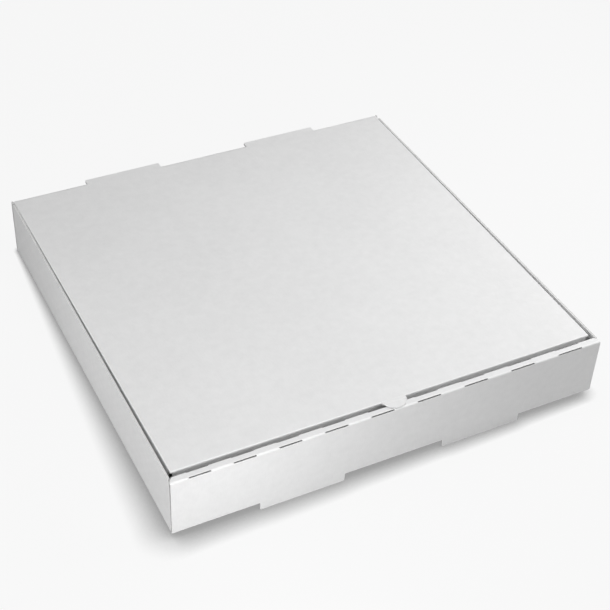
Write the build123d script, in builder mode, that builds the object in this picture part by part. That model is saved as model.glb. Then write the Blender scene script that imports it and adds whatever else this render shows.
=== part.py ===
"""A closed pizza box, folded from one sheet of white corrugated board.

The tray is the bottom, the back wall, two side walls with corner flaps, and a front wall that rolls over the front
corner flaps and locks into the bottom. The lid is the rest of the same sheet. It turns on the crease at the top of
the back wall, and its front and side flaps tuck inside the tray.

Millimetres. X runs left to right, Y runs front to back, Z is up. The origin is the centre of the whole footprint,
tabs included, on the surface that the front feet stand on.
"""

import os
from math import hypot, pi

from build123d import *

# The sheet
board = 1.6  # thickness of the board
crease_radius = 1.3  # outside radius of a fold
cut_gap = 0.2  # air between parts of the sheet that lie side by side
turn_gap = 0.3  # air between the lid and the tray where the lid turns
die_radius = 0.9  # corner radius that the cutting die leaves on tabs and feet

# The folded box, outside
width = 356.0
depth = 356.0
height = 51.0  # underside of the bottom to the top of the lid

# Front wall, rolled over the corner flaps
roll_play = 1.6  # strip over the top, beyond the three boards that it covers
roll_end = 5.1  # the inner wall is this much shorter at each end
slit_count = 9
slit_width = 1.0
slit_margin_left = 13.6
slit_margin_right = 17.2
slit_growth = 1.0175  # each slit and each bridge is longer than its left neighbour

# Feet, locking tabs and the tabs behind the hinge share their places
tab_offset = 76.0  # middle of each, from the middle of the box
tab_width = 68.5
back_tab = 5.7  # how far the hinge tabs stand out behind the box
lock_play = 0.2  # slot beyond the locking tab, front to back
lock_end_play = 1.5  # slot beyond the locking tab, at each end
lock_reach = 3.5  # the locking tab below the bottom
lock_slope = 3.5  # the locking tab narrows by this at each end

# Corner flaps on the side walls
corner_flap = 50.0
corner_flap_drop = 0.5  # top of the flap below the board above it
corner_flap_round = 10.0

# Lid
lid_gap_back = 0.4  # lid to side wall, at the hinge
lid_gap_front = 2.1  # lid to side wall, at the front
lid_gap_nose = 3.9  # strip to the front of the lid
front_flap_clear = 8.0  # end of the flap above the bottom
front_flap_end = 7.0  # flap shorter than the lid, at each end
front_flap_slope = 5.0
front_flap_round = 14.0
side_flap_clear = 11.0  # end of the flap above the bottom
side_flap_front = 4.5  # flap behind the front corner of the lid
side_flap_back = 16.0  # flap ahead of the hinge
side_flap_slope_front = 7.0
side_flap_slope_back = 21.0
side_flap_round = 9.0

# Thumb tab, pressed thin, which rides over the strip
thumb_radius = 9.7
thumb_inset = 1.5  # middle of its round, behind the front of the lid
thumb_board = 1.0
thumb_lift = 0.15  # air between the tab and the strip

# Places that follow from the sizes above
half_width = width / 2
strip_depth = 3 * board + roll_play
slot_depth = strip_depth + lock_play
fold_take_up = (1 - pi / 4) * board  # sheet that a square fold uses up
foot_depth = slot_depth - fold_take_up  # a foot is the piece cut out for its slot
tab_places = (-tab_offset, tab_offset)
corner_flap_lean = roll_play - 2 * cut_gap  # the crease leans back by this over the wall

y_front = -(depth + back_tab) / 2
y_back = y_front + depth
y_middle = (y_front + y_back) / 2
y_strip = y_front + strip_depth
y_hinge = y_back

z_under = foot_depth
z_inside = z_under + board
z_top = z_under + height
z_lid = z_top - board
z_back_wall = z_lid - turn_gap
front_flap = z_lid - z_inside - front_flap_clear
side_flap = z_lid - z_inside - side_flap_clear

# Front and back ends of the side walls, which stand inside the front and back walls
half_side = depth / 2 - board - cut_gap
flap_top = z_lid - corner_flap_drop
flap_foot = z_inside + turn_gap
lean_rate = corner_flap_lean / (flap_top - z_under)


def side_end(z, inset=0.0):
    """Distance from mid depth to the end of a side wall at height z, less an inset."""
    return half_side - lean_rate * (z - z_under) - inset


def slit_spans():
    """Middle and length of each slit along a perforated crease, left to right."""
    steps = 2 * slit_count - 1
    room = width - slit_margin_left - slit_margin_right
    length = room * (slit_growth - 1) / (slit_growth**steps - 1)
    start = slit_margin_left - half_width
    spans = []
    for _ in range(slit_count):
        spans.append((start + length / 2, length))
        bridge = length * slit_growth
        start += length + bridge
        length = bridge * slit_growth
    return spans


# Right side wall: an upright panel with a corner flap folded in at each end
with BuildPart() as corner:
    with BuildSketch(Plane.XY.offset(flap_foot)):
        end = y_middle - side_end(flap_foot)
        leg = 4 * crease_radius
        with BuildLine():
            FilletPolyline(
                (half_width - corner_flap, end),
                (half_width, end),
                (half_width, end + leg),
                radius=crease_radius,
            )
            Polyline(
                (half_width, end + leg),
                (half_width - board, end + leg),
                (half_width - board, end + board),
                (half_width - corner_flap, end + board),
                (half_width - corner_flap, end),
            )
        make_face()
    rise = flap_top - flap_foot
    extrude(amount=hypot(rise, rise * lean_rate), dir=(0, rise * lean_rate, rise))
    free_corners = corner.edges().filter_by(Axis.Y).group_by(Axis.X)[0]
    fillet(free_corners, corner_flap_round)

with BuildPart() as side_wall:
    step = z_top - flap_top
    half_outline = [
        (side_end(z_under), z_under),
        (side_end(z_under), flap_foot),
        (side_end(flap_foot, crease_radius), flap_foot),
        (side_end(flap_top, crease_radius), flap_top),
        (side_end(flap_top, crease_radius + step), z_top),
    ]
    back_half = [(y_middle + y, z) for y, z in half_outline]
    front_half = [(y_middle - y, z) for y, z in reversed(half_outline)]
    with BuildSketch(Plane.YZ.offset(half_width)):
        with BuildLine():
            Polyline(*back_half, *front_half, close=True)
        make_face()
    extrude(amount=-board)
    outer_edge = side_wall.edges().filter_by(Axis.Y).group_by(Axis.Z)[0].sort_by(Axis.X)[-1]
    fillet(outer_edge, crease_radius)
    add(corner.part)
    mirror(corner.part, about=Plane.XZ.offset(-y_middle))

with BuildPart() as tray:
    # Section of the strip of sheet that runs from the inner front wall to the back wall
    creases = [(y_back, z_under), (y_front, z_under), (y_front, z_top), (y_strip, z_top)]
    inner_wall_foot = z_inside + cut_gap
    with BuildSketch(Plane.YZ) as section:
        with BuildLine():
            Polyline(
                (y_back, z_back_wall),
                *creases,
                (y_strip, inner_wall_foot),
                (y_strip - board, inner_wall_foot),
                (y_strip - board, z_lid),
                (y_front + board, z_lid),
                (y_front + board, z_inside),
                (y_back - board, z_inside),
                (y_back - board, z_back_wall),
                close=True,
            )
        make_face()
        outer_corners = [
            vertex
            for vertex in section.vertices()
            if any(hypot(vertex.X - y, vertex.Y - z) < cut_gap for y, z in creases)
        ]
        fillet(outer_corners, crease_radius)
    extrude(amount=half_width, both=True)

    # The strip and the inner wall are shorter, so that they pass between the side walls
    with BuildSketch(Plane.XY.offset(z_inside)):
        with BuildLine():
            Polyline(
                (half_width, y_front + board),
                (half_width, y_strip + board),
                (half_width - roll_end, y_strip + board),
                (half_width - roll_end, y_strip),
                close=True,
            )
        make_face()
        mirror(about=Plane.YZ)
    extrude(amount=height, mode=Mode.SUBTRACT)

    # Slits through both creases of the strip, along the diagonal of the fold
    slit_reach = 1.6 * board
    for y, facing in ((y_front, -1), (y_strip, 1)):
        with BuildSketch(Plane((0, y, z_top), x_dir=(1, 0, 0), z_dir=(0, facing, 1))):
            for middle, length in slit_spans():
                with Locations((middle, 0)):
                    Rectangle(length, slit_width)
        extrude(amount=slit_reach, both=True, mode=Mode.SUBTRACT)

    # Slots in the bottom, just behind the front wall
    with BuildSketch(Plane.XY.offset(z_inside)):
        for x in tab_places:
            with Locations((x, y_front + (board + slot_depth) / 2)):
                Rectangle(tab_width, slot_depth - board)
    extrude(amount=-board, mode=Mode.SUBTRACT)

    # Feet, cut out for the slots and left standing under the front wall
    with BuildSketch(Plane.XZ.offset(-y_front)) as feet:
        for x in tab_places:
            with Locations((x, z_inside / 2)):
                Rectangle(tab_width, z_inside)
        fillet(feet.vertices().group_by(Axis.Y)[0], die_radius)
    extrude(amount=-board)

    # Locking tabs of the inner wall, through the slots
    half_lock = tab_width / 2 - lock_end_play
    lock_outline = [
        (-half_lock, z_inside + board),
        (-half_lock, z_under),
        (lock_slope - half_lock, z_under - lock_reach),
        (half_lock - lock_slope, z_under - lock_reach),
        (half_lock, z_under),
        (half_lock, z_inside + board),
    ]
    with BuildSketch(Plane.XZ.offset(-y_strip)):
        for x in tab_places:
            with Locations((x, 0)):
                Polygon(*lock_outline, align=None)
    extrude(amount=board)

    # Notches that the hinge tabs leave in the back wall, deep enough for the tabs to swing through
    notch_floor = z_lid - hypot(back_tab, board) - turn_gap
    with BuildSketch(Plane.XZ.offset(-y_back)):
        for x in tab_places:
            with Locations((x, (notch_floor + z_top) / 2)):
                Rectangle(tab_width + 2 * turn_gap, z_top - notch_floor)
    extrude(amount=board, mode=Mode.SUBTRACT)

    # Ends of the back wall, which reach up beside the lid
    with BuildSketch(Plane.XZ.offset(-y_back)):
        for x in (board / 2 - half_width, half_width - board / 2):
            with Locations((x, (z_back_wall + z_top) / 2)):
                Rectangle(board, z_top - z_back_wall)
    extrude(amount=board)

    # The bottom gives way to the side walls, which have its folded edges
    with BuildSketch(Plane.XY.offset(z_under)):
        for x in (board / 2 - half_width, half_width - board / 2):
            with Locations((x, y_middle)):
                Rectangle(board, depth - 2 * board)
    extrude(amount=board, mode=Mode.SUBTRACT)
    add(side_wall.part)
    mirror(side_wall.part, about=Plane.YZ)

# Thumb tab: left in the plane of the lid, and bent up a little by the strip that it lies on
y_lid_back = y_hinge - turn_gap
y_lid_front = y_strip + lid_gap_nose
lid_half_front = half_width - board - lid_gap_front
lid_half_back = half_width - board - lid_gap_back

with BuildPart() as thumb_tab:
    z_rest = z_top + thumb_lift
    y_root = y_lid_front + 2 * board
    y_tip = y_lid_front - thumb_radius
    y_thumb = y_lid_front + thumb_inset
    with BuildSketch(Plane.YZ):
        with BuildLine():
            Polyline(
                (y_root, z_lid),
                (y_root, z_top),
                (y_lid_front, z_top),
                (y_strip + crease_radius, z_rest + thumb_board),
                (y_tip, z_rest + thumb_board),
                (y_tip, z_rest),
                (y_strip, z_rest),
                (y_lid_front, z_lid),
                close=True,
            )
        make_face()
    extrude(amount=2 * thumb_radius, both=True)
    with BuildSketch(Plane.XY.offset(z_lid)):
        with Locations((0, y_thumb)):
            Circle(thumb_radius)
        with Locations((0, (y_thumb + y_root) / 2)):
            Rectangle(2 * thumb_radius, y_root - y_thumb)
    extrude(amount=3 * board, mode=Mode.INTERSECT)

with BuildPart() as lid:
    # Top panel, narrower at the front, with its folded edges
    with BuildSketch(Plane.XY.offset(z_lid)):
        with BuildLine():
            Polyline(
                (-lid_half_front, y_lid_front),
                (lid_half_front, y_lid_front),
                (lid_half_back, y_lid_back),
                (-lid_half_back, y_lid_back),
                close=True,
            )
        make_face()
    extrude(amount=board)
    fillet(lid.edges().group_by(Axis.Z)[-1], crease_radius)
    fold_seat = z_top - crease_radius

    # Side flap, which follows the tapered edge
    edge_length = hypot(y_lid_back - y_lid_front, lid_half_back - lid_half_front)
    along_edge = (lid_half_back - lid_half_front, y_lid_back - y_lid_front, 0)
    outward = (y_lid_back - y_lid_front, lid_half_front - lid_half_back, 0)
    flap_plane = Plane((lid_half_front, y_lid_front, fold_seat), x_dir=along_edge, z_dir=outward)
    flap_drop = side_flap + fold_seat - z_lid
    with BuildSketch(flap_plane) as side_flap_outline:
        with BuildLine():
            Polyline(
                (side_flap_front, 0),
                (edge_length - side_flap_back, 0),
                (edge_length - side_flap_back - side_flap_slope_back, -flap_drop),
                (side_flap_front + side_flap_slope_front, -flap_drop),
                close=True,
            )
        make_face()
        fillet(side_flap_outline.vertices().group_by(Axis.Y)[0], side_flap_round)
    extrude(amount=-board)
    mirror(about=Plane.YZ)

    # Front flap, with the round notch that the thumb tab leaves
    flap_half = lid_half_front - front_flap_end
    with BuildSketch(Plane.XZ.offset(-y_lid_front)) as front_flap_outline:
        with BuildLine():
            Polyline(
                (-flap_half, fold_seat),
                (flap_half, fold_seat),
                (flap_half - front_flap_slope, z_lid - front_flap),
                (front_flap_slope - flap_half, z_lid - front_flap),
                close=True,
            )
        make_face()
        fillet(front_flap_outline.vertices().group_by(Axis.Y)[0], front_flap_round)
        with Locations((0, z_lid + thumb_inset)):
            Circle(thumb_radius, mode=Mode.SUBTRACT)
    extrude(amount=-board)
    add(thumb_tab.part)

    # Tabs behind the hinge crease
    y_tab_root = y_lid_back - 2 * board
    tab_length = y_hinge + back_tab - y_tab_root
    with BuildSketch(Plane.XY.offset(z_lid)) as hinge_tabs:
        for x in tab_places:
            with Locations((x, y_tab_root + tab_length / 2)):
                Rectangle(tab_width, tab_length)
        fillet(hinge_tabs.vertices().group_by(Axis.Y)[-1], die_radius)
    extrude(amount=board)

os.makedirs("parts", exist_ok=True)
for name, sheet in (("tray", tray), ("lid", lid)):
    sheet.part.label = name
    export_step(sheet.part, f"parts/{name}.step")
    box = sheet.part.bounding_box()
    size = f"{box.size.X:.1f} x {box.size.Y:.1f} x {box.size.Z:.1f} mm"
    print(f"{name}: {len(sheet.part.solids())} solid, {sheet.part.volume / 1000:.1f} cm3, {size}")
print(f"hinge axis along X at y {y_hinge:.3f}, z {z_lid:.3f} mm")
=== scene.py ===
"""Looks of a closed pizza box, folded from white corrugated board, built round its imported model.

The board of each body is carved again with finer folds, and with the flutes that show along its cut edges. Sizes
are in millimetres up to the last step, which puts the meshes in metres. X runs left to right, Y runs from the front
to the hinge at the back, and Z is up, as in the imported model.
"""

import logging
import math
from collections.abc import Sequence
from dataclasses import dataclass, field
from enum import Enum
from functools import partial

import bmesh
import bpy
from mathutils import Matrix, Vector


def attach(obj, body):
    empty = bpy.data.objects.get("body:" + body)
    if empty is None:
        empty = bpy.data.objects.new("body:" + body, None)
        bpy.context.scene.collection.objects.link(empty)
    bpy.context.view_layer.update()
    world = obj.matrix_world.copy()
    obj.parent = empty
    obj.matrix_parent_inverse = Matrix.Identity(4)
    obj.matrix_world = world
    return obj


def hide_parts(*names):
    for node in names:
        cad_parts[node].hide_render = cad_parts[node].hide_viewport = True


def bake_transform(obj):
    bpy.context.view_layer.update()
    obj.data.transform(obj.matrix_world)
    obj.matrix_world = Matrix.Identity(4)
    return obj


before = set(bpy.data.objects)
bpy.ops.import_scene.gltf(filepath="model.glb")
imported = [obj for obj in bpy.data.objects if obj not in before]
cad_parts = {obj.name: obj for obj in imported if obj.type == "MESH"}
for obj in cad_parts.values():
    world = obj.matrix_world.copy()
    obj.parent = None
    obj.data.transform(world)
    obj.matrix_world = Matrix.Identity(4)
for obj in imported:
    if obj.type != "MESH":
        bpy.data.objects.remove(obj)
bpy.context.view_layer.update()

logging.basicConfig(level=logging.INFO, format="%(message)s")
log = logging.getLogger("pizza_box")

MM = 0.001
LINER = "bleached_kraft_liner"
MEDIUM = "bleached_fluting_medium"
PAST = 0.1  # How far a cutter reaches past the face that it opens.
PAST_BOX = 200.0  # Half length of what reaches past the whole box.
WELD = 1e-4  # Points that are nearer to each other than this become one.
MITRE_LIMIT = 0.2  # Least stretch of a sharp corner's normal, which keeps the mitre short.
FLAT = 0.999  # Least part of a normal along one axis on a face that isn't part of a fold.

Point = tuple[float, float]
Place = tuple[float, float, float]
Outline = list[Point]
Corners = tuple[Place, Place]
Solid = bpy.types.Object
Socket = bpy.types.NodeSocket


class Body(Enum):
    """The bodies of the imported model, by name."""

    TRAY = "tray"
    LID = "lid"


class Step(Enum):
    """What a solid does to the one before it."""

    JOIN = "UNION"
    CUT = "DIFFERENCE"
    KEEP_COMMON = "INTERSECT"


# Nodes and colours


def linear(code: str) -> tuple[float, float, float, float]:
    """Turn an sRGB hex colour into the linear colour, with an alpha of 1, that a socket takes."""
    channels = [int(code.lstrip("#")[i : i + 2], 16) / 255 for i in (0, 2, 4)]
    return (*(c / 12.92 if c <= 0.04045 else ((c + 0.055) / 1.055) ** 2.4 for c in channels), 1.0)


def add_node(tree: bpy.types.NodeTree, kind: str, *values: object, **named: object) -> bpy.types.NodeOutputs:
    """Add a node with its settings and links.

    Args:
        tree: The tree that gets the node.
        kind: Blender's name of the node type, without ShaderNode in front, and after a space its operation.
        values: What each input takes, from the first on: a value, a hex colour, an output or a list of outputs.
        named: The same for an input by its name with _ for a space, or by its number as i0, i1 and so on. A name in
            small letters is a setting of the node itself.

    Returns:
        The node's outputs.
    """
    kind, _, operation = kind.partition(" ")
    node = tree.nodes.new(kind if kind.startswith(("Geometry", "NodeGroup")) else "ShaderNode" + kind)
    if operation:
        node.operation = operation
    inputs: dict[int | str, object] = dict(enumerate(values))
    for key, value in named.items():
        if key[0] == "i" and key[1:].isdigit():
            inputs[int(key[1:])] = value
        elif key[0].isupper():
            inputs[key.replace("_", " ")] = value
        else:
            setattr(node, key, value)
    for key, value in inputs.items():
        if isinstance(value, (list, Socket)):
            for source in value if isinstance(value, list) else [value]:
                tree.links.new(source, node.inputs[key])
        else:
            node.inputs[key].default_value = linear(value) if isinstance(value, str) else value
    return node.outputs


# Plane outlines


def rounded(corners: Sequence[tuple[float, ...]], closed: bool = False, pieces: int = 10) -> Outline:
    """Round the corners of a path.

    Args:
        corners: Points as (x, y) or (x, y, radius).
        closed: Whether the last point joins the first.
        pieces: Chords in each arc.

    Returns:
        The path's points, arcs included.
    """
    points: Outline = []
    count = len(corners)
    for i, corner in enumerate(corners):
        here = Vector(corner[:2])
        radius = corner[2] if len(corner) > 2 else 0.0
        if radius <= 0 or (not closed and i in (0, count - 1)):
            points.append(tuple(here))
            continue
        back = (Vector(corners[i - 1][:2]) - here).normalized()
        ahead = (Vector(corners[(i + 1) % count][:2]) - here).normalized()
        half = back.angle(ahead) / 2
        centre = here + (back + ahead).normalized() * (radius / math.sin(half))
        start = here + back * (radius / math.tan(half)) - centre
        sweep = start.angle_signed(here + ahead * (radius / math.tan(half)) - centre)
        for k in range(pieces + 1):
            turned = start.copy()
            turned.rotate(Matrix.Rotation(-sweep * k / pieces, 2))
            points.append(tuple(centre + turned))
    return points


def shifted(path: Outline, left: float, closed: bool = False) -> Outline:
    """Move a path to its left by a distance, with mitred corners.

    Args:
        path: The path's points.
        left: Distance to the left, or to the right if negative.
        closed: Whether the last point joins the first.

    Returns:
        As many points, moved.
    """
    moved: Outline = []
    count = len(path)
    for i, point in enumerate(path):
        before = path[i - 1] if closed or i else None
        after = path[(i + 1) % count] if closed or i < count - 1 else None
        ways = []
        if before is not None:
            ways.append((Vector(point) - Vector(before)).normalized())
        if after is not None:
            ways.append((Vector(after) - Vector(point)).normalized())
        normal = sum((Vector((-way.y, way.x)) for way in ways), Vector((0, 0))).normalized()
        stretch = normal.dot(Vector((-ways[0].y, ways[0].x)))
        moved.append(tuple(Vector(point) + normal * (left / max(stretch, MITRE_LIMIT))))
    return moved


def band(path: Outline, inner: float, outer: float) -> Outline:
    """Follow an open path, with the board on its left, by a closed outline with a width on each side."""
    return shifted(path, -outer) + shifted(path, inner)[::-1]


def plane(origin: Sequence[float], x: Sequence[float], y: Sequence[float]) -> Matrix:
    """Give the matrix that takes a plane's coordinates to the model's.

    Args:
        origin: Where the plane's origin lies.
        x: Direction of its X axis.
        y: Direction of its Y axis.

    Returns:
        The matrix, with Z along the plane's normal.
    """
    along, across = Vector(x).normalized(), Vector(y).normalized()
    up = along.cross(across)
    return Matrix.Translation(Vector(origin)) @ Matrix((along, across, up)).transposed().to_4x4()


# Closed meshes, in millimetres


def new_object(name: str, data: bpy.types.ID) -> Solid:
    """Put a mesh, a light or a camera in the scene as an object."""
    made = bpy.data.objects.new(name, data)
    bpy.context.scene.collection.objects.link(made)
    return made


def remove(*objects: Solid) -> None:
    """Remove objects with their meshes."""
    for item in objects:
        mesh = item.data
        bpy.data.objects.remove(item)
        if mesh.users == 0:
            bpy.data.meshes.remove(mesh)


def loft(rings: Sequence[Sequence[Place]], place: Matrix | None = None, material: str = LINER) -> Solid:
    """Make a closed mesh through rings of as many points each, with a cap at both ends.

    Args:
        rings: The rings, as 3-D points.
        place: Matrix for the points.
        material: Name of what the faces are made of.

    Returns:
        The new object.
    """
    count = len(rings[0])
    points = [Vector(p) for ring in rings for p in ring]
    faces = [tuple(range(count)), tuple(range((len(rings) - 1) * count, len(rings) * count))]
    for r in range(len(rings) - 1):
        for i in range(count):
            j = (i + 1) % count
            faces.append((r * count + i, r * count + j, (r + 1) * count + j, (r + 1) * count + i))
    mesh = bpy.data.meshes.new("solid")
    mesh.from_pydata([place @ p if place else p for p in points], [], faces)
    shell = bmesh.new()
    shell.from_mesh(mesh)
    bmesh.ops.recalc_face_normals(shell, faces=shell.faces)
    shell.to_mesh(mesh)
    shell.free()
    mesh.materials.append(bpy.data.materials[material])
    return new_object("solid", mesh)


def prism(outline: Outline, low: float, high: float, place: Matrix | None = None, material: str = LINER) -> Solid:
    """Make a closed mesh with straight sides over an outline, between two heights over its plane."""
    return loft([[(x, y, z) for x, y in outline] for z in (low, high)], place, material)


def block(low: Place, high: Place) -> Solid:
    """Make a closed mesh between a lowest and a highest corner."""
    corners = [(low[0], low[1]), (high[0], low[1]), (high[0], high[1]), (low[0], high[1])]
    return prism(corners, low[2], high[2])


def baked(item: Solid) -> Solid:
    """Turn an object's modifiers into plain mesh, and take them off.

    Args:
        item: The object.

    Returns:
        The same object with its new mesh.
    """
    graph = bpy.context.evaluated_depsgraph_get()
    mesh = bpy.data.meshes.new_from_object(item.evaluated_get(graph), depsgraph=graph)
    old = item.data
    item.modifiers.clear()
    item.data = mesh
    if old.users == 0:
        bpy.data.meshes.remove(old)
    return item


def carve(base: Solid, tools: Sequence[Solid], step: Step) -> Solid:
    """Join closed meshes to another, or cut them from it.

    Args:
        base: The object that stays.
        tools: The objects that are used up.
        step: What they do to it.

    Returns:
        The base with its new mesh.
    """
    for tool in tools:
        modifier = base.modifiers.new("carve", "BOOLEAN")
        modifier.solver = "MANIFOLD"
        modifier.operation = step.value
        modifier.material_mode = "TRANSFER"
        modifier.object = tool
    baked(base)
    remove(*tools)
    return base


def gathered(items: Sequence[Solid]) -> Solid:
    """Put separate closed meshes of one material into one object.

    Args:
        items: The objects, which are used up.

    Returns:
        The first of them, with all the meshes.
    """
    whole = bmesh.new()
    for item in items:
        whole.from_mesh(item.data)
    whole.to_mesh(items[0].data)
    whole.free()
    remove(*items[1:])
    return items[0]


def fill_cells(item: Solid) -> None:
    """Fill the closed cells that the cuts leave inside the board, which are all its shells but the largest.

    Args:
        item: The carved board.
    """
    board = bmesh.new()
    board.from_mesh(item.data)
    waiting = set(board.faces)
    shells = []
    while waiting:
        shell = [waiting.pop()]
        for face in shell:
            found = {other for edge in face.edges for other in edge.link_faces} & waiting
            waiting -= found
            shell += found
        shells.append(shell)
    shells.sort(key=len)
    bmesh.ops.delete(board, geom=[face for shell in shells[:-1] for face in shell], context="FACES")
    board.to_mesh(item.data)
    board.free()


def mirrored(item: Solid, normal: Sequence[float] = (1, 0, 0), offset: float = 0.0) -> Solid:
    """Copy an object to the other side of a plane, with its faces still outwards.

    Args:
        item: The object.
        normal: Direction across the plane.
        offset: How far the plane lies along that direction.

    Returns:
        The copy.
    """
    mesh = item.data.copy()
    mesh.transform(Matrix.Translation(Vector(normal) * (2 * offset)) @ Matrix.Scale(-1, 4, normal))
    mesh.flip_normals()
    return new_object(item.name, mesh)


# Node trees for what repeats


class NodeShape:
    """A Geometry Nodes tree with named inputs, run once for each mesh that it makes."""

    def __init__(self, name: str, count: str, *sizes: str) -> None:
        """Start the tree.

        Args:
            name: The tree's name.
            count: Name of the input that is a whole number.
            sizes: Names of the inputs that are sizes.
        """
        self.tree = bpy.data.node_groups.new(name, "GeometryNodeTree")
        new_socket = self.tree.interface.new_socket
        new_socket("Geometry", in_out="OUTPUT", socket_type="NodeSocketGeometry")
        kinds = {count: "Int", "Material": "Material"} | dict.fromkeys(sizes, "Float")
        self.sockets = {key: new_socket(key, in_out="INPUT", socket_type="NodeSocket" + kind).identifier
                        for key, kind in kinds.items()}
        self.add = partial(add_node, self.tree)
        self.given = self.add("NodeGroupInput")

    def end(self, geometry: Socket) -> None:
        """Close the tree with Realize Instances and Set Material."""
        real = self.add("GeometryNodeRealizeInstances", geometry)
        dressed = self.add("GeometryNodeSetMaterial", real[0], Material=self.given["Material"])
        self.add("NodeGroupOutput", dressed[0])

    def make(self, material: str, **values: float) -> Solid:
        """Run the tree.

        Args:
            material: Name of what the mesh is made of.
            values: Each other input's value, by its name.

        Returns:
            A new object with the result as plain mesh.
        """
        item = new_object(self.tree.name, bpy.data.meshes.new(self.tree.name))
        modifier = item.modifiers.new("nodes", "NODES")
        modifier.node_group = self.tree
        for key, value in values.items():
            modifier[self.sockets[key]] = value
        modifier[self.sockets["Material"]] = bpy.data.materials[material]
        return baked(item)


class FlutingTree(NodeShape):
    """The wavy middle paper of the board, as a closed sheet with its flutes along X."""

    def __init__(self) -> None:
        """Build the tree: a grid, raised in a sine wave across Y, with the paper's thickness."""
        super().__init__("fluting", "Chords", "Length", "Width", "Pitch", "Rise", "Paper")
        add, given = self.add, self.given
        waves = add("Math DIVIDE", given["Width"], given["Pitch"])
        chords = add("Math MULTIPLY", waves[0], given["Chords"])
        rows = add("Math ADD", add("Math CEIL", chords[0])[0], 1.0)
        grid = add("GeometryNodeMeshGrid", given["Length"], given["Width"], 2, rows[0])
        spot = add("SeparateXYZ", add("GeometryNodeInputPosition")[0])
        turn = add("Math MULTIPLY", spot["Y"], 2 * math.pi)
        wave = add("Math SINE", add("Math DIVIDE", turn[0], given["Pitch"])[0])
        crest = add("Math DIVIDE", given["Rise"], 2.0)
        height = add("Math MULTIPLY", wave[0], crest[0])
        half_paper = add("Math DIVIDE", given["Paper"], 2.0)
        lower = add("Math SUBTRACT", height[0], half_paper[0])
        under = add("GeometryNodeSetPosition", grid["Mesh"], Offset=add("CombineXYZ", Z=lower[0])[0])
        lift = add("CombineXYZ", Z=given["Paper"])
        over = add("GeometryNodeExtrudeMesh", under[0], Offset=lift[0], Offset_Scale=1.0, Individual=False,
                   mode="FACES")
        turned = add("GeometryNodeFlipFaces", under[0])
        both = add("GeometryNodeJoinGeometry", [over["Mesh"], turned[0]])
        self.end(add("GeometryNodeMergeByDistance", both[0], Distance=WELD)[0])


class PerforationTree(NodeShape):
    """Cutters for a row of slits along X, each longer than its left neighbour, as are the bridges between them."""

    def __init__(self) -> None:
        """Build the tree: a block on each point, with its place and length from its number."""
        super().__init__("perforation", "Count", "Start", "First", "Growth", "Width", "Reach")
        add, given = self.add, self.given
        steps = add("Math MULTIPLY", add("GeometryNodeInputIndex")[0], 2.0)
        scale = add("Math POWER", given["Growth"], steps[0])
        length = add("Math MULTIPLY", given["First"], scale[0])
        longer = add("Math SUBTRACT", length[0], given["First"])
        rate = add("Math SUBTRACT", given["Growth"], 1.0)
        run = add("Math DIVIDE", longer[0], rate[0])
        left = add("Math ADD", run[0], given["Start"])
        middle = add("Math ADD", left[0], add("Math DIVIDE", length[0], 2.0)[0])
        line = add("GeometryNodeMeshLine", Count=given["Count"], Offset=(0.0, 0.0, 0.0))
        spread = add("GeometryNodeSetPosition", line[0], Position=add("CombineXYZ", middle[0])[0])
        cutter = add("GeometryNodeMeshCube", (1.0, 1.0, 1.0))
        size = add("CombineXYZ", length[0], given["Width"], given["Reach"])
        self.end(add("GeometryNodeInstanceOnPoints", spread[0], Instance=cutter["Mesh"], Scale=size[0])[0])


# Papers


class PaperTree:
    """Shader tree of a paper, with its coordinates in millimetres."""

    def __init__(self, name: str) -> None:
        """Start a material of that name."""
        self.material = bpy.data.materials.new(name)
        self.material.use_nodes = True
        self.material.node_tree.nodes.clear()
        self.add = partial(add_node, self.material.node_tree)
        self.place = self.add("VectorMath SCALE", self.add("TexCoord")["Object"], Scale=1 / MM)[0]

    def unevenness(self, size: float, place: Socket | None = None) -> Socket:
        """Give a value that wanders from about -0.5 to 0.5 over a size in millimetres."""
        noise = self.add("TexNoise", Vector=place or self.place, Scale=1 / size, Detail=2.0)
        return self.add("Math MULTIPLY_ADD", noise[0], 2.0, -1.0)[0]

    def sheet(self) -> tuple[Socket, Socket]:
        """Follow the folded sheet.

        Returns:
            How far a point lies across the flutes, and how far along them.
        """
        upright = self.add("Attribute", attribute_name="upright_flutes")["Fac"]
        spot = self.add("SeparateXYZ", self.place)
        rest = self.add("Mix", upright, i2=spot["Z"], i3=spot["X"], data_type="FLOAT")
        along = self.add("Mix", upright, i2=spot["X"], i3=spot["Z"], data_type="FLOAT")
        return self.add("Math ADD", spot["Y"], rest[0])[0], along[0]

    def end(self, colour: Socket, roughness: Socket, height: Socket) -> None:
        """Close the tree.

        Args:
            colour: The paper's colour.
            roughness: Its roughness.
            height: Its relief in millimetres.
        """
        relief = self.add("Bump", Strength=1.0, Distance=MM, Height=height)
        shader = self.add("BsdfPrincipled", Base_Color=colour, Roughness=roughness, IOR=1.47, Normal=relief[0])
        self.add("OutputMaterial", shader[0])


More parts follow.
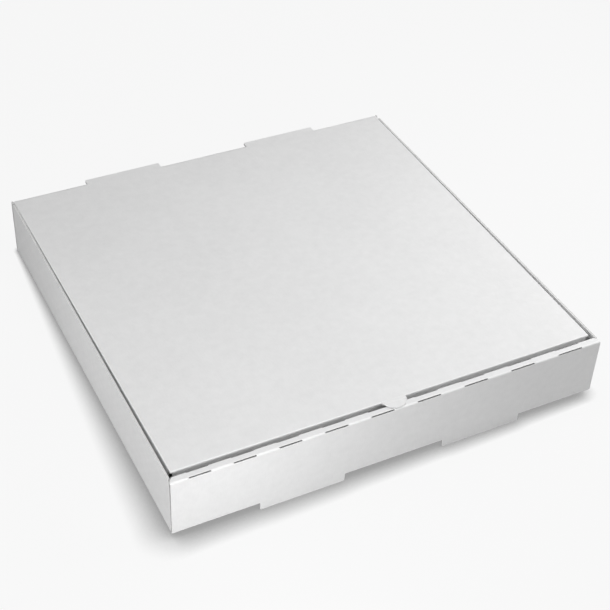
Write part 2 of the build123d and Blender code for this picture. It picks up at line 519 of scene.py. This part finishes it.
@dataclass(frozen=True)
class BleachedLiner:
    """Bleached kraft liner, machine finished, which is the white paper on both sides of the board."""

    thin: str = "#e4e4e4"
    thick: str = "#eeeeee"
    fold_white_and_highlight: str = "#f3f3f3"
    fold_white_and_highlight_share: float = 0.7
    roughness: float = 0.62
    cloud_roughness: float = 0.08
    fold_roughness: float = 0.1
    cloud: float = 6.0
    cloud_share: float = 0.45
    drift: float = 70.0
    drift_share: float = 0.3
    fibre_width: float = 0.9
    fibre_length: float = 5.0
    fibre_share: float = 0.3
    pitch: float = 3.2
    washboard: float = 0.006
    fuzz: float = 0.012

    def build(self) -> None:
        """Make the material."""
        paper = PaperTree(LINER)
        add = paper.add
        across, along = paper.sheet()
        # Fibres flock in clouds of a few millimetres, so the white is a little uneven and not as dead as paint.
        clouds = paper.unevenness(self.cloud)
        # A sheet dries unevenly over its width. The eye gets a slow drift of tone over the wide lid.
        drift = paper.unevenness(self.drift)
        # Fibres lie with the paper machine, across the flutes. Real ones are 0.03 mm wide, which is too fine to show
        # in the render, so they are drawn thirty times as wide, as faint streaks from the front to the back.
        lanes = add("CombineXYZ", add("Math DIVIDE", across, self.fibre_length)[0],
                    add("Math DIVIDE", along, self.fibre_width)[0])
        fibres = paper.unevenness(1.0, lanes[0])
        share: float | Socket = 0.5
        for part, weight in ((clouds, self.cloud_share), (fibres, self.fibre_share), (drift, self.drift_share)):
            share = add("Math MULTIPLY_ADD", part, weight, share)[0]
        colour = add("Mix", share, i6=self.thin, i7=self.thick, data_type="RGBA")
        # Liner that is stretched over a fold opens its fibres, which makes folds a touch more matt. Fold faces are also
        # painted whiter: partly for the opened fibres, and partly as a painted highlight along the folded edges.
        folded = add("Attribute", attribute_name="folded")["Fac"]
        fold_white_and_highlight = add("Math MULTIPLY", folded, self.fold_white_and_highlight_share)
        colour = add("Mix", fold_white_and_highlight[0], i6=colour[2], i7=self.fold_white_and_highlight, data_type="RGBA")
        roughness = add("Math MULTIPLY_ADD", clouds, self.cloud_roughness, self.roughness)
        roughness = add("Math MULTIPLY_ADD", folded, self.fold_roughness, roughness[0])
        # The glue draws the liner down on the flutes. Under a low light this washboard shows as faint ribs, one for
        # each flute, which tells corrugated board from solid card.
        turn = add("Math MULTIPLY", across, 2 * math.pi / self.pitch)
        height = add("Math MULTIPLY", add("Math SINE", turn[0])[0], self.washboard / 2)
        # The fibres also stand out of the surface, which breaks up the sheen.
        height = add("Math MULTIPLY_ADD", fibres, self.fuzz, height[0])
        paper.end(colour[2], roughness[0], height[0])


@dataclass(frozen=True)
class FlutingMedium:
    """Bleached fluting medium, the wavy paper that shows only along cut edges."""

    dark: str = "#d4d4d2"
    light: str = "#e6e6e5"
    fibre: float = 0.7
    fibre_share: float = 0.7
    roughness: float = 0.8
    fibre_roughness: float = 0.1
    fuzz: float = 0.03

    def build(self) -> None:
        """Make the material."""
        paper = PaperTree(MEDIUM)
        # Medium is short fibre without a finish: greyer than the liner, and mottled, so that the wave stands out
        # between the liners. The mottling is drawn twice as coarse as it is, or it wouldn't show in the render.
        mottling = paper.unevenness(self.fibre)
        share = paper.add("Math MULTIPLY_ADD", mottling, self.fibre_share, 0.5)
        colour = paper.add("Mix", share[0], i6=self.dark, i7=self.light, data_type="RGBA")
        # The die tears its edge more than it cuts it, so it scatters light with no sheen at all.
        roughness = paper.add("Math MULTIPLY_ADD", mottling, self.fibre_roughness, self.roughness)
        height = paper.add("Math MULTIPLY", mottling, self.fuzz)
        paper.end(colour[2], roughness[0], height[0])


# The folded board


@dataclass
class Box:
    """Sizes of the folded box that the tray and the lid share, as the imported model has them."""

    width: float = 356.0
    depth: float = 356.0
    height: float = 51.0
    board: float = 1.6
    strip_depth: float = 6.4
    slot_depth: float = 6.6
    gap: float = 0.2
    turn_gap: float = 0.3
    die_radius: float = 0.9
    back_tab: float = 5.7
    tab_offset: float = 76.0
    tab_width: float = 68.5

    def __post_init__(self) -> None:
        """Work out where the walls, the bottom and the top are, all of them on the outside unless said."""
        self.half_width = self.width / 2
        self.y_front = -(self.depth + self.back_tab) / 2
        self.y_back = self.y_front + self.depth
        self.y_middle = (self.y_front + self.y_back) / 2
        # Back edge of the strip that rolls over the front wall.
        self.y_strip = self.y_front + self.strip_depth
        # The bottom lies over the ends of the feet.
        self.z_under = self.slot_depth - (1 - math.pi / 4) * self.board
        self.z_inside = self.z_under + self.board
        # The lid and the strip share their top.
        self.z_top = self.z_under + self.height
        self.z_lid = self.z_top - self.board
        # Left and right ends of the two places that feet, slots, locking tabs and hinge tabs share.
        half = self.tab_width / 2
        self.tabs = [(middle - half, middle + half) for middle in (-self.tab_offset, self.tab_offset)]

    def front(self, y: float) -> Matrix:
        """Plane that looks to the front, with X to the right and Z up."""
        return plane((0, y, 0), (1, 0, 0), (0, 0, 1))

    def back(self, y: float) -> Matrix:
        """Plane that looks to the back, with X turned round and Z up."""
        return plane((0, y, 0), (-1, 0, 0), (0, 0, 1))

    def upper(self) -> Matrix:
        """Plane of the top of the lid and of the strip."""
        return plane((0, 0, self.z_top), (1, 0, 0), (0, 1, 0))

    def right(self, x: float) -> Matrix:
        """Plane that looks to the right, with Y along its first axis and Z up."""
        return plane((x, 0, 0), (0, 1, 0), (0, 0, 1))

    def tab(self, start: float, end: float, root: float, tip: float) -> Outline:
        """Outline of a foot or a hinge tab, with the corners that the die leaves."""
        return rounded([(start, root), (start, tip, self.die_radius), (end, tip, self.die_radius), (end, root)])


@dataclass
class Board:
    """Fine-flute corrugated board: a wavy medium glued between two flat liners, with the flutes along the sheet's X."""

    thickness: float = 1.6
    fold: float = 1.3
    ply: float = 0.25
    medium_ply: float = 0.2
    pitch: float = 3.2
    glue: float = 0.02
    crushed: float = 0.15
    open_depth: float = 3.0
    chords: int = 8
    fluting: FlutingTree = field(default_factory=FlutingTree)

    def panel(self, outline: Outline, face: Matrix) -> Solid:
        """Make a flat panel from its outline on the plane of its outer face, which looks away from the board."""
        return prism(outline, -self.thickness, 0, face)

    def flutes(self, face: Matrix, edges: Sequence[Outline], depth: float = 0.8, upright: bool = False) -> Solid:
        """Make what is missing between the liners along cut edges, which is the air round the wavy medium.

        Args:
            face: Plane of the panel's outer face.
            edges: Paths along the cut edges, with the board on their left.
            depth: How far the air goes in from the edge.
            upright: Whether the flutes run along the plane's Y axis, and not along its X axis.

        Returns:
            The missing volume, to be cut from the board.
        """
        low, high = self.ply - self.thickness, -self.ply
        recess = gathered([prism(band(edge, depth, PAST), low, high, face, MEDIUM) for edge in edges])
        spans = [(min(axis) - 1, max(axis) + 1) for axis in zip(*(point for edge in edges for point in edge))]
        middle = [(start + end) / 2 for start, end in spans]
        along, across = [end - start for start, end in (reversed(spans) if upright else spans)]
        paper = self.fluting.make(
            MEDIUM, Length=along, Width=math.ceil(across / self.pitch) * self.pitch, Pitch=self.pitch,
            Rise=self.thickness - 2 * self.ply - self.medium_ply + 2 * self.glue, Paper=self.medium_ply,
            Chords=self.chords)
        turn = Matrix.Rotation(math.pi / 2 if upright else 0, 4, "Z")
        paper.data.transform(face @ Matrix.Translation((*middle, -self.thickness / 2)) @ turn)
        return carve(recess, [paper], Step.CUT)

    def mark(self, mesh: bpy.types.Mesh, upright: Sequence[Corners] = ()) -> None:
        """Note on each face what the papers' textures need to know.

        Args:
            mesh: The mesh.
            upright: Lowest and highest corners of the places where the flutes stand upright.
        """
        turned = mesh.attributes.new("upright_flutes", "FLOAT", "FACE")
        folded = mesh.attributes.new("folded", "FLOAT", "FACE")
        for polygon in mesh.polygons:
            middle = polygon.center
            turned.data[polygon.index].value = float(any(
                all(low[i] <= middle[i] <= high[i] for i in range(3)) for low, high in upright))
            folded.data[polygon.index].value = float(max(abs(part) for part in polygon.normal) < FLAT)

    def finish(self, item: Solid, name: str, body: Body, upright: Sequence[Corners]) -> None:
        """Turn a carved board into a finished piece that stands for its body.

        Args:
            item: The board, in millimetres.
            name: Name of the piece.
            body: The body that it rides on and whose node it replaces.
            upright: Lowest and highest corners of the places where the flutes stand upright.
        """
        item.name = item.data.name = name
        fill_cells(item)
        mesh = item.data
        self.mark(mesh, upright)
        mesh.transform(Matrix.Scale(MM, 4))
        mesh.shade_flat()
        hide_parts(body.value)
        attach(item, body.value)
        log.info("%s: %d faces", name, len(mesh.polygons))


@dataclass
class Tray:
    """Bottom, walls and corner flaps, with the front wall rolled over and locked through the bottom."""

    box: Box
    board: Board
    slit_count: int = 9
    slit_width: float = 1.0
    slit_open: float = 1.9
    slit_margins: tuple[float, float] = (13.6, 17.2)
    slit_growth: float = 1.0175
    slit_deep: float = 5.12
    side_lap: float = 0.2
    strip_short: float = 3.2
    lock_play: float = 1.5
    lock_reach: float = 3.5
    lock_slope: float = 3.5
    lock_rounds: tuple[float, float] = (1.5, 1.2)
    flap_length: float = 50.0
    flap_drop: float = 0.5
    flap_round: float = 10.0
    flap_lean: float = 1.2
    corner_fold: float = 0.6
    end_cut: float = 2.2
    foot_cut: float = 1.8
    wall_from: float = 0.98

    def __post_init__(self) -> None:
        """Work out the corner flaps, which lean, and the edges of the inner wall, the notches and the back wall."""
        box = self.box
        self.flap_foot = box.z_inside + box.turn_gap
        self.flap_top = box.z_lid - self.flap_drop
        self.lean_rate = self.flap_lean / (self.flap_top - box.z_under)
        self.flap_end = self.side_end(self.flap_foot)
        self.inner_foot = box.z_inside + box.gap
        self.inner_half = box.half_width - self.strip_short
        self.notch_floor = box.z_lid - math.hypot(box.back_tab, box.board) - box.turn_gap
        self.back_top = box.z_lid - PAST / 2

    def side_end(self, z: float, inset: float = 0.0) -> float:
        """From mid depth to the end of a side wall at a height, less an inset."""
        return self.box.depth / 2 - self.box.board - self.box.gap - self.lean_rate * (z - self.box.z_under) - inset

    def run(self) -> Solid:
        """Make the run of sheet from the inner front wall over the strip, down, back and up to the hinge."""
        box, t, fold = self.box, self.box.board, self.board.fold
        outline = rounded([
            (box.y_back, self.back_top), (box.y_back, box.z_under, fold), (box.y_front, box.z_under, fold),
            (box.y_front, box.z_top, fold), (box.y_strip, box.z_top, fold), (box.y_strip, self.inner_foot),
            (box.y_strip - t, self.inner_foot), (box.y_strip - t, box.z_lid), (box.y_front + t, box.z_lid),
            (box.y_front + t, box.z_inside), (box.y_back - t, box.z_inside), (box.y_back - t, self.back_top),
        ], closed=True)
        return prism(outline, -box.half_width, box.half_width, box.right(0))

    def cuts(self) -> list[Solid]:
        """Make what the die takes out of that run: strip ends, slots, notches, room for the side walls, and slits."""
        box, t, half = self.box, self.box.board, self.box.half_width
        low, high = box.z_under - 1, box.z_inside + PAST
        end = [(half + 1, box.y_front + t), (half + 1, box.y_strip + t), (self.inner_half, box.y_strip + t),
               (self.inner_half, box.y_strip), (half, box.y_front + t)]
        taken = [prism(end, box.z_inside + PAST / 10, box.z_top + 1),
                 block((half - t + self.side_lap, box.y_front + t, low), (half + 1, box.y_back - t, high))]
        taken += [mirrored(item) for item in taken]
        for left, right in box.tabs:
            taken.append(block((left, box.y_front + t, low), (right, box.y_front + box.slot_depth, high)))
            taken.append(block((left - box.turn_gap, box.y_back - t - 1, self.notch_floor),
                               (right + box.turn_gap, box.y_back + 1, box.z_top)))
        tree = PerforationTree()
        first = (box.width - sum(self.slit_margins)) * (self.slit_growth - 1)
        first /= self.slit_growth ** (2 * self.slit_count - 1) - 1
        for y, facing, width in ((box.y_front, -1, self.slit_width), (box.y_strip, 1, self.slit_open)):
            slits = tree.make(LINER, Count=self.slit_count, Start=self.slit_margins[0] - half, First=first,
                              Growth=self.slit_growth, Width=width, Reach=self.slit_deep)
            slits.data.transform(plane((0, y, box.z_top), (1, 0, 0), (0, 1, -facing)))
            taken.append(slits)
        return taken

    def lock(self, left: float, right: float, root: float) -> Outline:
        """Outline of a locking tab on the inner wall's plane, from its root at the left to its root at the right."""
        low, high, slope = self.box.z_under - self.lock_reach, self.box.z_under, self.lock_slope
        left, right = left + self.lock_play, right - self.lock_play
        wide, narrow = self.lock_rounds
        return rounded([(left, root), (left, high, wide), (left + slope, low, narrow), (right - slope, low, narrow),
                        (right, high, wide), (right, root)])

    def additions(self) -> list[Solid]:
        """Make the feet, the locking tabs, and the ends of the back wall that stand beside the lid."""
        box, t, half = self.box, self.box.board, self.box.half_width
        added = []
        for left, right in box.tabs:
            added.append(self.board.panel(box.tab(left, right, box.z_inside, 0), box.front(box.y_front)))
            added.append(self.board.panel(self.lock(left, right, self.inner_foot + t), box.back(box.y_strip)))
        added += [block((x, box.y_back - t, self.back_top - 1), (x + t, box.y_back, box.z_top))
                  for x in (-half, half - t)]
        return added

    def side(self) -> Solid:
        """Make the right side wall, with a corner flap folded in at each end."""
        box, t, half, fold = self.box, self.box.board, self.box.half_width, self.board.fold
        profile = rounded([(half - t, box.z_under), (half, box.z_under, fold), (half, box.z_top + 1),
                           (half - t, box.z_top + 1)], closed=True)
        wall = prism(profile, -PAST_BOX, PAST_BOX, box.front(0))
        reach = [(self.side_end(box.z_under), box.z_under - 1), (self.flap_end, self.flap_foot),
                 (self.flap_end - self.corner_fold, self.flap_foot), *self.top_end()]
        outline = [(box.y_middle + y, z) for y, z in reach] + [(box.y_middle - y, z) for y, z in reversed(reach)]
        carve(wall, [prism(outline, half - t - 1, half + 1, box.right(0))], Step.KEEP_COMMON)
        end = box.y_middle - self.flap_end
        free, leg = half - self.flap_length - 1, end + 4 * fold
        ring = rounded([(free, end), (half, end, self.corner_fold), (half, leg), (half - t, leg), (half - t, end + t),
                        (free, end + t)], closed=True)
        levels = [self.flap_foot - 1, self.flap_top + 1]
        front = loft([[(x, y + self.lean_rate * (z - self.flap_foot), z) for x, y in ring] for z in levels])
        trim = rounded([(free + 1, self.flap_foot, self.flap_round), (half + 1, self.flap_foot),
                        (half + 1, self.flap_top), (free + 1, self.flap_top, self.flap_round)], closed=True, pieces=20)
        carve(front, [prism(trim, -PAST_BOX, PAST_BOX, box.front(0))], Step.KEEP_COMMON)
        return carve(wall, [front, mirrored(front, (0, 1, 0), box.y_middle)], Step.JOIN)

    def top_end(self) -> Outline:
        """How the top of a side wall slopes down to the corner flap, from mid depth."""
        step = self.box.z_top - self.flap_top
        return [(self.side_end(self.flap_top, self.corner_fold), self.flap_top),
                (self.side_end(self.flap_top, self.corner_fold + step), self.box.z_top)]

    def open_edges(self) -> list[Solid]:
        """Make the recesses along every cut edge that shows, with the box shut or open."""
        box, t, half, flutes = self.box, self.box.board, self.box.half_width, self.board.flutes
        low, high, deep = box.z_under + self.board.fold, box.z_top - self.board.fold, self.board.open_depth
        ends = [flutes(box.front(box.y_front), [[(half, low), (half, high)]], deep)]
        # The inner liner and the medium stop short at the ends of the front wall and of the feet.
        inner, behind = box.y_front + self.board.ply, box.y_front + t + PAST / 2
        ends.append(block((half - self.end_cut, inner, low), (half + PAST, behind, high)))
        ends += [block((left - PAST, inner, -PAST), (left + self.foot_cut, behind, box.z_under))
                 for left, _ in box.tabs]
        tip = box.y_strip - self.board.fold
        narrower = self.strip_short / (box.strip_depth - t) * (tip - box.y_front - t)
        ends.append(flutes(box.upper(), [
            [(half, box.y_front + self.board.fold), (half, box.y_front + t), (half - narrower, tip)]]))
        ends.append(flutes(box.front(box.y_back - t), [[(half, low), (half, box.z_top)]], deep))
        crest = [(box.y_middle + y, z) for y, z in self.top_end()]
        crest += [(2 * box.y_middle - y, z) for y, z in reversed(crest)]
        ends.append(flutes(box.right(half), [crest], self.board.crushed, upright=True))
        rise = (self.flap_top - self.flap_foot) * math.hypot(self.lean_rate, 1)
        free, root = half - self.flap_length, half - 2 * t
        flap = rounded([(root, rise), (free, rise, self.flap_round), (free, 0, self.flap_round), (root, 0)], pieces=20)
        leaning = plane((0, box.y_middle - self.flap_end, self.flap_foot), (1, 0, 0), (0, self.lean_rate, 1))
        ends.append(flutes(leaning, [flap], upright=True))
        ends.append(mirrored(ends[-1], (0, 1, 0), box.y_middle))
        ends += [mirrored(item) for item in ends]
        inner_edge = [(-self.inner_half, high), (-self.inner_half, self.inner_foot)]
        feet, notches = [], []
        for left, right in box.tabs:
            inner_edge += self.lock(left, right, self.inner_foot)
            feet.append([(left, box.z_under), (left, 0), (right, 0), (right, box.z_under)])
            sides = (right + box.turn_gap, left - box.turn_gap)
            notches.append([(sides[0], self.back_top), *((x, self.notch_floor) for x in sides),
                            (sides[1], self.back_top)])
        inner_edge += [(self.inner_half, self.inner_foot), (self.inner_half, high)]
        return [*ends, flutes(box.back(box.y_strip), [inner_edge]), flutes(box.front(box.y_front), feet, t),
                flutes(box.back(box.y_back), notches)]

    def build(self) -> None:
        """Make the tray's board and dress it."""
        box = self.box
        tray = carve(self.run(), self.cuts(), Step.CUT)
        side = self.side()
        carve(tray, [*self.additions(), mirrored(side), side], Step.JOIN)
        carve(tray, self.open_edges(), Step.CUT)
        upright = []
        for x in (-box.half_width, box.half_width):
            wall, flap = sorted((x, x * self.wall_from)), sorted((x, x - math.copysign(self.flap_length, x)))
            upright.append(((wall[0], -PAST_BOX, -PAST_BOX), (wall[1], PAST_BOX, PAST_BOX)))
            for y in (box.y_middle - self.flap_end, box.y_middle + self.flap_end):
                upright.append(((flap[0], y - 2 * box.board, self.flap_foot),
                                (flap[1], y + 2 * box.board, self.flap_top)))
        self.board.finish(tray, "tray_board", Body.TRAY, upright)


@dataclass
class Lid:
    """Top panel with its tucked front and side flaps, the thumb tab and the tabs behind the hinge."""

    box: Box
    board: Board
    gap_back: float = 0.15
    gap_front: float = 2.45
    gap_nose: float = 3.9
    front_clear: float = 8.0
    front_end: float = 1.5
    front_slope: float = 5.0
    front_round: float = 14.0
    side_clear: float = 11.0
    side_front: float = 4.5
    side_back: float = 16.0
    side_slopes: tuple[float, float] = (7.0, 21.0)
    side_round: float = 9.0
    thumb_radius: float = 9.7
    thumb_inset: float = 1.5
    thumb_reach: float = 1.8
    notch_radius: float = 7.0
    thumb_board: float = 0.7
    thumb_lift: float = 0.45
    thumb_bends: tuple[float, float] = (5.5, 1.5)
    fold: float = 0.8
    fold_chords: int = 10
    notch_chords: int = 32
    thumb_chords: int = 48
    back_inset: float = 0.3
    flap_from: float = 0.97

    def __post_init__(self) -> None:
        """Work out the corners of the top panel."""
        box = self.box
        self.y_back = box.y_back - box.turn_gap - self.back_inset
        self.y_front = box.y_strip + self.gap_nose
        self.half_front = box.half_width - box.board - self.gap_front
        self.half_back = box.half_width - box.board - self.gap_back
        self.seat = box.z_top - self.fold

    def top(self) -> Solid:
        """Make the top panel, a little narrower at the front, with folded edges."""
        outline = [(-self.half_front, self.y_front), (self.half_front, self.y_front),
                   (self.half_back, self.y_back), (-self.half_back, self.y_back)]
        fold = self.fold
        rings = [[(x, y, self.box.z_lid) for x, y in outline]]
        for k in range(self.fold_chords + 1):
            turn = math.pi / 2 * k / self.fold_chords
            inset = shifted(outline, fold * (1 - math.cos(turn)), closed=True)
            rings.append([(x, y, self.seat + fold * math.sin(turn)) for x, y in inset])
        return loft(rings)

    def side_flap(self) -> tuple[Matrix, Outline]:
        """Plane of the right side flap's outer face, and its outline from the front end of its fold to the back."""
        step, run = self.half_back - self.half_front, self.y_back - self.y_front
        length = math.hypot(run, step)
        drop = self.seat - self.box.z_inside - self.side_clear
        front, back = self.side_front, length - self.side_back
        outline = rounded([(front, 0), (front + self.side_slopes[0], -drop, self.side_round),
                           (back - self.side_slopes[1], -drop, self.side_round), (back, 0)], pieces=20)
        return plane((self.half_front, self.y_front, self.seat), (step, run, 0), (0, 0, 1)), outline

    def front_flap(self) -> Outline:
        """Outline of the front flap, from the left end of its fold to the right."""
        half, low = self.half_front - self.front_end, self.box.z_inside + self.front_clear
        return rounded([(-half, self.seat), (-half + self.front_slope, low, self.front_round),
                        (half - self.front_slope, low, self.front_round), (half, self.seat)], pieces=24)

    def notch(self) -> Outline:
        """Round edge that the thumb tab leaves in the front flap, from right to left."""
        middle = self.box.z_lid + self.thumb_inset
        start = math.asin((middle - self.seat) / self.notch_radius)
        turns = [-(start + (math.pi - 2 * start) * k / self.notch_chords) for k in range(self.notch_chords + 1)]
        return [(self.notch_radius * math.cos(turn), middle + self.notch_radius * math.sin(turn)) for turn in turns]

    def thumb(self) -> Solid:
        """Make the thumb tab, pressed thin and bent up a little by the strip that it lies on."""
        box, radius, (bend, tight) = self.box, self.thumb_radius, self.thumb_bends
        root, tip = self.y_front + 2 * box.board, self.y_front - radius - 2
        under = box.z_top + self.thumb_lift
        over = under + self.thumb_board
        profile = rounded([(root, box.z_lid), (root, box.z_top), (self.y_front, box.z_top, bend),
                           (box.y_strip + self.board.fold, over, bend), (tip, over), (tip, under),
                           (box.y_strip, under, tight), (self.y_front, box.z_lid, tight)], closed=True)
        tongue = prism(profile, -2 * radius, 2 * radius, box.right(0))
        middle = self.y_front + self.thumb_inset - self.thumb_reach
        turns = [math.pi * k / self.thumb_chords for k in range(self.thumb_chords + 1)]
        edge = [(-radius * math.cos(turn), middle - radius * math.sin(turn)) for turn in turns]
        outline = [(-radius, root + 1), *edge, (radius, root + 1)]
        return carve(tongue, [prism(outline, box.z_lid - 1, box.z_top + 5)], Step.KEEP_COMMON)

    def build(self) -> None:
        """Make the lid's board and dress it."""
        box, board = self.box, self.board
        lid = self.top()
        place, flap = self.side_flap()
        side = board.panel(flap, place)
        front = board.panel(self.front_flap(), box.front(self.y_front))
        bite = [(-self.notch_radius, box.z_top), (self.notch_radius, box.z_top), *self.notch()]
        carve(front, [prism(bite, -box.board - 1, 1, box.front(self.y_front))], Step.CUT)
        hidden, root, end = self.y_back - 2 * box.board, box.y_back + box.gap, box.y_back + box.back_tab
        tabs = [board.panel(box.tab(right, left, hidden, end), box.upper()) for left, right in box.tabs]
        carve(lid, [side, mirrored(side), front, self.thumb(), *tabs], Step.JOIN)
        edge = board.flutes(place, [flap], upright=True)
        open_edges = [edge, mirrored(edge), board.flutes(box.front(self.y_front), [self.front_flap(), self.notch()])]
        open_edges.append(board.flutes(box.upper(), [
            [(right, root), (right, end), (left, end), (left, root)] for left, right in box.tabs]))
        carve(lid, open_edges, Step.CUT)
        sides = [sorted((x, x * self.flap_from)) for x in (-self.half_back, self.half_back)]
        upright = [((low, -PAST_BOX, 0), (high, PAST_BOX, self.seat - 1)) for low, high in sides]
        board.finish(lid, "lid_board", Body.LID, upright)


@dataclass
class HingeCrease:
    """Outer liner that runs unbroken round the crease, from the back wall to the lid, between the hinge tabs."""

    box: Box
    board: Board
    end: float = 0.4
    lap: float = 0.05
    past_fold: float = 0.31
    chords: int = 14

    def build(self) -> None:
        """Make the crease as one piece."""
        box, fold, ply = self.box, self.board.fold, self.board.ply
        foot, seat = box.z_lid - self.lap, box.z_top - fold
        arc = rounded([(box.y_back, seat - PAST / 10), (box.y_back, box.z_top, fold),
                       (box.y_back - fold - self.past_fold, box.z_top)], pieces=self.chords)
        inside = shifted(arc, ply)
        rise = [foot + (seat - foot) * k / 4 for k in range(4)]
        outline = [(box.y_back, z) for z in rise] + arc + inside[::-1] + [(box.y_back - ply, z) for z in reversed(rise)]
        ends = [-box.half_width + box.board + self.end]
        for left, right in box.tabs:
            ends += [left - box.turn_gap, right + box.turn_gap]
        ends.append(box.half_width - box.board - self.end)
        strips = [prism(outline, ends[i], ends[i + 1], box.right(0)) for i in (0, 2, 4)]
        crease = gathered(strips)
        crease.name = crease.data.name = "hinge_crease"
        crease.data.transform(Matrix.Scale(MM, 4))
        self.board.mark(crease.data)
        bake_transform(crease)
        log.info("hinge_crease: %d faces", len(crease.data.polygons))


# Studio


@dataclass
class Studio:
    """Pale floor, soft lamps and the camera of the photograph, in metres but for the camera's place."""

    box: Box
    backdrop: str = "#f6f6f6"
    floor_glow: str = "#fdfdfd"
    floor_bounce: str = "#b4b4b4"
    floor_half: float = 6.0
    glow_share: float = 0.92
    shadow_reach: float = 0.0079
    least_reach: float = 0.004
    fade_right: float = 0.04
    fade_back: float = 0.066
    fade_front: float = 0.4
    contact: float = 1.35
    darkest: float = 0.36
    world_strength: float = 0.2
    eye: Place = (-396.24, -758.35, 727.06)
    azimuth: float = -28.533
    elevation: float = 39.688
    roll: float = 2.949
    lens: float = 78.996
    sensor: float = 36.0
    clip: Point = (0.05, 30.0)
    front_left: Place = (-0.15, -0.1, 0.03)
    lid_right: Place = (0.1, -0.05, 0.05)

    def floor(self) -> None:
        """Lay the floor under the feet and the rear edge, on which the real box stands a little tilted."""
        half = self.floor_half
        mesh = bpy.data.meshes.new("floor")
        mesh.from_pydata([(-half, -half, 0), (half, -half, 0), (half, half, 0), (-half, half, 0)], [], [(0, 1, 2, 3)])
        floor = new_object("floor", mesh)
        tilt = math.atan(self.box.z_under / self.box.depth)
        floor.matrix_world = Matrix.Translation((0, self.box.y_front * MM, 0)) @ Matrix.Rotation(tilt, 4, "X")
        material = bpy.data.materials.new("matt_backdrop_paper")
        material.use_nodes = True
        material.node_tree.nodes.clear()
        add = partial(add_node, material.node_tree)
        spot = add("SeparateXYZ", add("NewGeometry")["Position"])
        # The floor's glow is darkened near the box by ambient occlusion, as a painted contact shadow. It is widest at
        # the front left corner and fades to the right, to the back and to the front.
        reach = add("Math MULTIPLY_ADD", spot["X"], -self.fade_right, self.shadow_reach)
        reach = add("Math MULTIPLY_ADD", spot["Y"], -self.fade_back, reach[0])
        ahead = add("Math ADD", spot["Y"], -self.box.y_front * MM)
        ahead = add("Math MINIMUM", ahead[0], 0.0)
        reach = add("Math MULTIPLY_ADD", ahead[0], self.fade_front, reach[0])
        reach = add("Math MAXIMUM", reach[0], self.least_reach)
        near = add("AmbientOcclusion", Distance=reach[0], samples=8)
        near = add("Math POWER", near["AO"], self.contact)
        near = add("Math MAXIMUM", near[0], self.darkest)
        rays = add("LightPath")
        seen = add("Math MAXIMUM", rays["Is Camera Ray"], rays["Is Glossy Ray"])
        seen = add("Math MAXIMUM", seen[0], rays["Is Transmission Ray"])
        share = add("Math MULTIPLY", seen[0], self.glow_share)
        # Rays that only light the box get a darker floor than the eye does, so that its walls keep their tones.
        paper = add("BsdfDiffuse", self.floor_bounce)
        glow = add("Emission", self.floor_glow, near[0])
        add("OutputMaterial", add("MixShader", share[0], paper[0], glow[0])[0])
        mesh.materials.append(material)

    def world(self) -> None:
        """Surround the set with even white light, seen as the pale backdrop."""
        world = bpy.data.worlds.new("studio")
        bpy.context.scene.world = world
        world.use_nodes = True
        world.node_tree.nodes.clear()
        add = partial(add_node, world.node_tree)
        light = add("Background", "#ffffff", self.world_strength)
        backdrop = add("Background", self.backdrop, 1.0)
        mix = add("MixShader", add("LightPath")["Is Camera Ray"], light[0], backdrop[0])
        add("OutputWorld", mix[0])

    def lamps(self) -> None:
        """Hang square soft lamps, whose powers in watts give each side of the box its tone in the photograph."""
        for name, at, aim, size, power in (
            ("overhead", (0.0, -0.1, 0.9), (0, -0.03, 0), 0.5, 3.1),
            ("right_high", (0.6, 0.0, 0.45), self.lid_right, 0.3, 1.2),
            ("right_front", (0.6, -0.3, 0.45), self.lid_right, 0.3, 1.4),
            ("front_corner", (-0.17, -0.36, 0.08), self.front_left, 0.1, 0.15),
            ("front_fill", (-0.1, -0.42, 0.12), self.front_left, 0.12, 0.09),
            ("front_wide", (0.0, -0.8, 0.25), (0, -0.18, 0.03), 0.3, 0.6),
            ("left_side", (-0.6, -0.04, 0.15), self.front_left, 0.2, 0.56),
            ("left_front", (-0.7, -0.3, 0.2), self.front_left, 0.3, 0.65),
            ("rear", (0.2, 1.3, 0.35), (0, 0.17, 0.03), 0.5, 1.2),
        ):
            data = bpy.data.lights.new(name, "AREA")
            data.shape = "SQUARE"
            data.size = size
            data.energy = power
            lamp = new_object(name, data)
            lamp.location = at
            lamp.visible_camera = False
            lamp.rotation_euler = (Vector(aim) - Vector(at)).to_track_quat("-Z", "Y").to_euler()

    def camera(self) -> None:
        """Set the camera where the photograph's was."""
        data = bpy.data.cameras.new("camera")
        data.lens = self.lens
        data.sensor_width = self.sensor
        data.clip_start, data.clip_end = self.clip
        camera = new_object("camera", data)
        turn = Matrix.Rotation(math.radians(self.azimuth), 4, "Z")
        tip = Matrix.Rotation(math.radians(90 - self.elevation), 4, "X")
        roll = Matrix.Rotation(math.radians(self.roll), 4, "Z")
        camera.matrix_world = Matrix.Translation(Vector(self.eye) * MM) @ turn @ tip @ roll
        bpy.context.scene.camera = camera

    def build(self) -> None:
        """Set up the floor, the light and the camera."""
        self.floor()
        self.world()
        self.lamps()
        self.camera()
        bpy.context.scene.view_settings.view_transform = "Standard"
        log.info("studio: floor, world, lamps and camera")


def main() -> None:
    """Build the box and its studio."""
    BleachedLiner().build()
    FlutingMedium().build()
    box, board = Box(), Board()
    Tray(box, board).build()
    Lid(box, board).build()
    HingeCrease(box, board).build()
    Studio(box).build()


if __name__ == "__main__":
    main()
